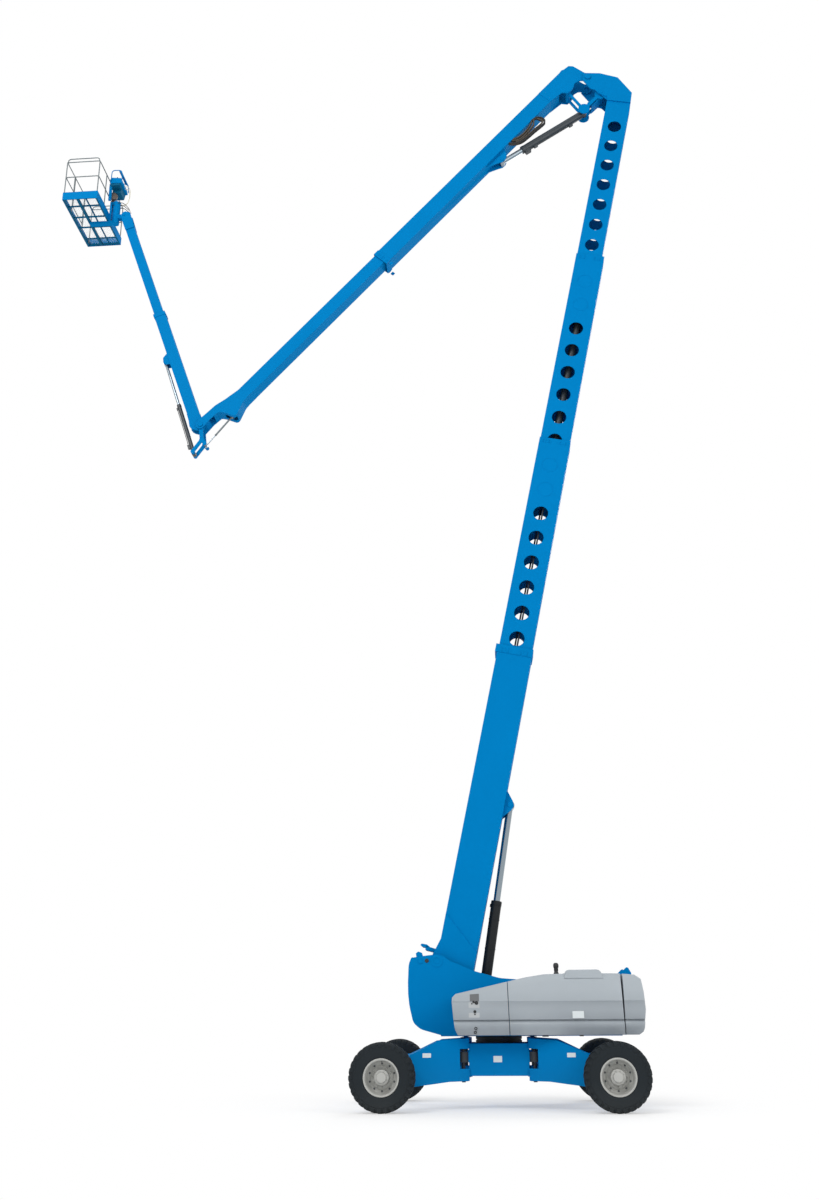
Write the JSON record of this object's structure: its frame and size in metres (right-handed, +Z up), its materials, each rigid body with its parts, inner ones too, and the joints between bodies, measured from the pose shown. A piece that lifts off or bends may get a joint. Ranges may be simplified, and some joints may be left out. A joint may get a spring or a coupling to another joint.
{
  "type": "articulating telescopic boom lift",
  "caption": "Self-propelled boom lift with swing-out axle arms, a telescopic primary boom, a folding telescopic secondary boom, a jib and a work platform.",
  "frame": {"origin": "on the ground, on the slewing axis of the turntable", "axes": "+X towards the counterweight, +Y to the far side, +Z up"},
  "size_m": [13.7871, 3.805, 23.8263],
  "materials": {
    "boom_paint": "gloss",
    "cover": "satin",
    "cast": "satin",
    "rod_chrome": "polished",
    "barrel_paint": "satin",
    "rim_paint": "satin",
    "tyre": "matte",
    "rail_alu": "satin",
    "engine": "satin",
    "tank": "matte",
    "black_plastic": "matte"
  },
  "bodies": {
    "chassis": {"chassis_box": "boom_paint", "slew_ring": "barrel_paint", "hinge_pins": "barrel_paint"},
    "arm_front_near": {"axle_arm_front_near": "boom_paint"},
    "steer_front_near": {"knuckle_front_near": "boom_paint"},
    "wheel_front_near": {"rim_front_near": "rim_paint", "tyre_front_near": "tyre"},
    "arm_front_far": {"axle_arm_front_far": "boom_paint"},
    "steer_front_far": {"knuckle_front_far": "boom_paint"},
    "wheel_front_far": {"rim_front_far": "rim_paint", "tyre_front_far": "tyre"},
    "arm_rear_near": {"axle_arm_rear_near": "boom_paint"},
    "steer_rear_near": {"knuckle_rear_near": "boom_paint"},
    "wheel_rear_near": {"rim_rear_near": "rim_paint", "tyre_rear_near": "tyre"},
    "arm_rear_far": {"axle_arm_rear_far": "boom_paint"},
    "steer_rear_far": {"knuckle_rear_far": "boom_paint"},
    "wheel_rear_far": {"rim_rear_far": "rim_paint", "tyre_rear_far": "tyre"},
    "turntable": {"turntable_frame": "boom_paint", "counterweight": "cover", "boom_rest": "boom_paint", "rest_pad": "black_plastic", "engine_block": "engine", "tank_block": "tank", "front_cowls": "cover"},
    "door_near": {"cowl_door_near": "cover", "beacon": "black_plastic"},
    "door_far": {"cowl_door_far": "cover"},
    "lift_barrel": {"lift_barrel": "barrel_paint"},
    "lift_rod": {"lift_rod": "rod_chrome"},
    "primary_base": {"primary_base": "boom_paint"},
    "primary_second": {"primary_second": "boom_paint", "service_rods": "barrel_paint"},
    "primary_third": {"primary_third": "boom_paint", "extend_cylinder": "rod_chrome"},
    "primary_fly": {"primary_fly": "boom_paint", "elbow_head": "boom_paint"},
    "link_a": {"link_a": "boom_paint"},
    "link_b": {"link_b": "boom_paint"},
    "fold_barrel": {"fold_barrel": "barrel_paint"},
    "fold_rod": {"fold_rod": "rod_chrome"},
    "secondary_base": {"secondary_base": "boom_paint"},
    "secondary_fly": {"secondary_fly": "boom_paint"},
    "bellcrank": {"jib_bellcrank": "boom_paint"},
    "level_barrel": {"level_barrel": "barrel_paint"},
    "level_rod": {"level_rod": "rod_chrome"},
    "jib_base": {"jib_base": "boom_paint"},
    "jib_fly": {"jib_fly": "boom_paint"},
    "jib_barrel": {"jib_barrel": "barrel_paint"},
    "jib_rod": {"jib_rod": "rod_chrome"},
    "platform_mount": {"platform_mount": "boom_paint"},
    "platform": {"platform_support": "boom_paint", "platform_floor": "boom_paint", "platform_rails": "rail_alu", "control_console": "boom_paint"},
    "gate": {"platform_gate": "rail_alu"}
  },
  "joints": [
    {"name": "axle_swing_front_near", "type": "hinge", "parent": "chassis", "child": "arm_front_near", "pos_m": [-0.64, -0.78, 0.83], "axis": [0, 0, -1], "range_deg": [0, 26]},
    {"name": "steer_front_near", "type": "hinge", "parent": "arm_front_near", "child": "steer_front_near", "pos_m": [-2.02, -1.22, 0.63], "axis": [0, 0, 1], "range_deg": [-30, 26]},
    {"name": "wheel_spin_front_near", "type": "hinge", "parent": "steer_front_near", "child": "wheel_front_near", "pos_m": [-2.02, -1.68, 0.575], "axis": [0, 1, 0], "continuous": true},
    {"name": "axle_swing_front_far", "type": "hinge", "parent": "chassis", "child": "arm_front_far", "pos_m": [-0.64, 0.78, 0.83], "axis": [0, 0, 1], "range_deg": [0, 26]},
    {"name": "steer_front_far", "type": "hinge", "parent": "arm_front_far", "child": "steer_front_far", "pos_m": [-2.02, 1.22, 0.63], "axis": [0, 0, -1], "range_deg": [-30, 26]},
    {"name": "wheel_spin_front_far", "type": "hinge", "parent": "steer_front_far", "child": "wheel_front_far", "pos_m": [-2.02, 1.68, 0.575], "axis": [0, 1, 0], "continuous": true},
    {"name": "axle_swing_rear_near", "type": "hinge", "parent": "chassis", "child": "arm_rear_near", "pos_m": [0.64, -0.78, 0.83], "axis": [0, 0, 1], "range_deg": [0, 26]},
    {"name": "steer_rear_near", "type": "hinge", "parent": "arm_rear_near", "child": "steer_rear_near", "pos_m": [2.02, -1.22, 0.63], "axis": [0, 0, -1], "range_deg": [-30, 26]},
    {"name": "wheel_spin_rear_near", "type": "hinge", "parent": "steer_rear_near", "child": "wheel_rear_near", "pos_m": [2.02, -1.68, 0.575], "axis": [0, 1, 0], "continuous": true},
    {"name": "axle_swing_rear_far", "type": "hinge", "parent": "chassis", "child": "arm_rear_far", "pos_m": [0.64, 0.78, 0.83], "axis": [0, 0, -1], "range_deg": [0, 26]},
    {"name": "steer_rear_far", "type": "hinge", "parent": "arm_rear_far", "child": "steer_rear_far", "pos_m": [2.02, 1.22, 0.63], "axis": [0, 0, 1], "range_deg": [-30, 26]},
    {"name": "wheel_spin_rear_far", "type": "hinge", "parent": "steer_rear_far", "child": "wheel_rear_far", "pos_m": [2.02, 1.68, 0.575], "axis": [0, 1, 0], "continuous": true},
    {"name": "turntable_slew", "type": "hinge", "parent": "chassis", "child": "turntable", "pos_m": [0, 0, 1.218], "axis": [0, 0, 1], "continuous": true},
    {"name": "door_near", "type": "hinge", "parent": "turntable", "child": "door_near", "pos_m": [1.2, -0.475, 2.235], "axis": [-1, 0, 0], "range_deg": [0, 70]},
    {"name": "door_far", "type": "hinge", "parent": "turntable", "child": "door_far", "pos_m": [1.2, 0.475, 2.235], "axis": [1, 0, 0], "range_deg": [0, 70]},
    {"name": "primary_lift", "type": "hinge", "parent": "turntable", "child": "primary_base", "pos_m": [-1.12, 0, 2.55], "axis": [0, 1, 0], "range_deg": [0, 77.7]},
    {"name": "lift_barrel_swing", "type": "hinge", "parent": "turntable", "child": "lift_barrel", "pos_m": [-0.33, 0, 1.55], "axis": [0, 1, 0], "range_deg": [-0.5, 76.16]},
    {"name": "lift_rod_slide", "type": "slide", "parent": "lift_barrel", "child": "lift_rod", "axis": [-0.1693, 0, -0.9856], "range_m": [-0.01, 1.605]},
    {"name": "primary_extend", "type": "slide", "parent": "primary_base", "child": "primary_second", "axis": [-0.213, 0, -0.977], "range_m": [0, 4.4]},
    {"name": "third_extend", "type": "slide", "parent": "primary_second", "child": "primary_third", "axis": [-0.213, 0, -0.977], "range_m": [0, 4.4]},
    {"name": "fly_extend", "type": "slide", "parent": "primary_third", "child": "primary_fly", "axis": [-0.213, 0, -0.977], "range_m": [0, 4.4]},
    {"name": "secondary_lift", "type": "hinge", "parent": "primary_fly", "child": "secondary_base", "pos_m": [2.876, 0, 23.406], "axis": [0, -1, 0], "range_deg": [-105, 26]},
    {"name": "link_b_swing", "type": "hinge", "parent": "primary_fly", "child": "link_b", "pos_m": [3.164, 0, 22.929], "axis": [0, -1, 0], "range_deg": [-92.53, 23.29]},
    {"name": "link_a_swing", "type": "hinge", "parent": "secondary_base", "child": "link_a", "pos_m": [2.379, 0, 23.08], "axis": [0, -1, 0], "range_deg": [-16.43, 64.85]},
    {"name": "fold_barrel_swing", "type": "hinge", "parent": "link_a", "child": "fold_barrel", "pos_m": [2.743, 0, 22.515], "axis": [0, -1, 0], "range_deg": [-59.18, 15.03]},
    {"name": "fold_rod_slide", "type": "slide", "parent": "fold_barrel", "child": "fold_rod", "axis": [0.8386, 0, 0.5447], "range_m": [-0.6806, 0.1761]},
    {"name": "secondary_extend", "type": "slide", "parent": "secondary_base", "child": "secondary_fly", "axis": [0.673, 0, 0.7396], "range_m": [0, 3.7]},
    {"name": "jib_level", "type": "hinge", "parent": "secondary_fly", "child": "bellcrank", "pos_m": [-6.36, 0, 14.265], "axis": [0, 1, 0], "range_deg": [-25, 5]},
    {"name": "level_barrel_swing", "type": "hinge", "parent": "secondary_fly", "child": "level_barrel", "pos_m": [-5.674, 0, 14.527], "axis": [0, 1, 0], "range_deg": [-7.65, 1.93]},
    {"name": "level_rod_slide", "type": "slide", "parent": "level_barrel", "child": "level_rod", "axis": [0.6181, 0, 0.7861], "range_m": [-0.0455, 0.1877]},
    {"name": "jib_lift", "type": "hinge", "parent": "bellcrank", "child": "jib_base", "pos_m": [-6.36, 0, 14.265], "axis": [0, -1, 0], "range_deg": [-4.75, 105.25]},
    {"name": "jib_barrel_swing", "type": "hinge", "parent": "bellcrank", "child": "jib_barrel", "pos_m": [-6.51, 0, 13.61], "axis": [0, -1, 0], "range_deg": [-4.99, 99.96]},
    {"name": "jib_rod_slide", "type": "slide", "parent": "jib_barrel", "child": "jib_rod", "axis": [0.3188, 0, -0.9478], "range_m": [-0.0548, 1.002]},
    {"name": "jib_extend", "type": "slide", "parent": "jib_base", "child": "jib_fly", "axis": [0.3379, 0, -0.9412], "range_m": [0, 2.1]},
    {"name": "platform_level", "type": "hinge", "parent": "jib_fly", "child": "platform_mount", "pos_m": [-8.62, 0, 20.2], "axis": [0, 1, 0], "range_deg": [-20, 106]},
    {"name": "platform_rotate", "type": "hinge", "parent": "platform_mount", "child": "platform", "pos_m": [-8.85, 0, 20.3], "axis": [0, 0, 1], "range_deg": [-90, 90]},
    {"name": "gate_swing", "type": "hinge", "parent": "platform", "child": "gate", "pos_m": [-9.844, -0.33, 20.8], "axis": [0, 0, -1], "range_deg": [0, 90]}
  ],
  "couplings": [
    {"joint": "axle_swing_front_far", "follows": "axle_swing_front_near", "ratio": 1},
    {"joint": "axle_swing_rear_near", "follows": "axle_swing_front_near", "ratio": 1},
    {"joint": "axle_swing_rear_far", "follows": "axle_swing_front_near", "ratio": 1},
    {"joint": "lift_barrel_swing", "follows": "primary_lift", "ratio": 0.9738},
    {"joint": "lift_rod_slide", "follows": "primary_lift", "m_per_rad": 1.1761},
    {"joint": "third_extend", "follows": "primary_extend", "ratio": 1},
    {"joint": "fly_extend", "follows": "primary_extend", "ratio": 1},
    {"joint": "link_b_swing", "follows": "secondary_lift", "ratio": 0.87648},
    {"joint": "link_a_swing", "follows": "secondary_lift", "ratio": -0.61285},
    {"joint": "fold_barrel_swing", "follows": "secondary_lift", "ratio": 0.55884},
    {"joint": "fold_rod_slide", "follows": "secondary_lift", "m_per_rad": 0.36594},
    {"joint": "level_barrel_swing", "follows": "jib_level", "ratio": 0.286},
    {"joint": "level_rod_slide", "follows": "jib_level", "m_per_rad": -0.4073},
    {"joint": "jib_barrel_swing", "follows": "jib_lift", "ratio": 0.945},
    {"joint": "jib_rod_slide", "follows": "jib_lift", "m_per_rad": 0.54}
  ]
}
